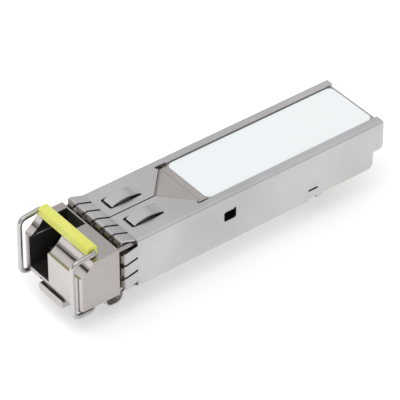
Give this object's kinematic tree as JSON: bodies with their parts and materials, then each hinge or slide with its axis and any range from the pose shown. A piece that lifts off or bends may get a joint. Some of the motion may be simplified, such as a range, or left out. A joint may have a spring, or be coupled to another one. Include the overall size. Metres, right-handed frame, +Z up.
{
  "type": "small pluggable fibre transceiver",
  "caption": "Pluggable optical transceiver with a folded metal shell, die-cast nose with one fibre socket, ground spring fingers and a wire bail that works the latch slide.",
  "frame": {"origin": "on the centre line, in the plane of the housing's bottom, at the shoulder of the latch post", "axes": "+Y from the nose to the rear, +Z up to the label side, +X to the right seen from the nose"},
  "size_m": [0.0142, 0.0572, 0.0125],
  "materials": {
    "casting_nickel": "satin nickel plate on a die casting",
    "shell_steel": "bright folded stainless sheet",
    "socket_black": "matt black plastic",
    "label_white": "matt white film",
    "wire_steel": "polished stainless wire",
    "grip_yellow": "moulded yellow plastic",
    "slide_nickel": "satin nickel plate",
    "turned_steel": "turned stainless",
    "ferrule_ceramic": "ground white ceramic",
    "gasket_rubber": "conductive rubber",
    "filter_glass": "coated glass",
    "can_gold": "gold-plated metal can",
    "flex_amber": "amber film circuit",
    "board_green": "green solder mask",
    "contact_gold": "gold plate",
    "chip_black": "black moulding compound",
    "capacitor_tan": "tan ceramic with tinned ends",
    "resistor_black": "black thick film with tinned ends",
    "pad_grey": "soft grey silicone"
  },
  "bodies": {
    "root": {"body_casting": "casting_nickel", "outer_shell": "shell_steel", "port_liner": "socket_black", "label": "label_white", "receptacle_barrel": "turned_steel", "ferrule_sleeve": "ferrule_ceramic", "fibre_stub": "ferrule_ceramic", "emi_gasket": "gasket_rubber", "receptacle_clip": "turned_steel", "optics_block": "turned_steel", "wavelength_filter": "filter_glass", "laser_can": "can_gold", "receiver_can": "can_gold", "laser_flex": "flex_amber", "receiver_flex": "flex_amber", "circuit_board": "board_green", "edge_contacts": "contact_gold", "driver_chip": "chip_black", "controller_chip": "chip_black", "memory_chip": "chip_black", "capacitors": "capacitor_tan", "resistors": "resistor_black", "inductors": "chip_black", "thermal_pad": "pad_grey"},
    "bail": {"bail_wire": "wire_steel", "bail_sleeve": "grip_yellow"},
    "latch": {"latch_slide": "slide_nickel"}
  },
  "joints": [
    {"name": "bail_swing", "type": "hinge", "parent": "root", "child": "bail", "pos_m": [0, -0.00815, -0.0003], "axis": [1, 0, 0], "range_deg": [0, 90]},
    {"name": "latch_travel", "type": "slide", "parent": "root", "child": "latch", "axis": [0, 1, 0], "range_m": [0, 0.0012]}
  ],
  "couplings": [
    {"joint": "bail_swing", "follows": "latch_travel", "rad_per_m": 1308.9}
  ]
}
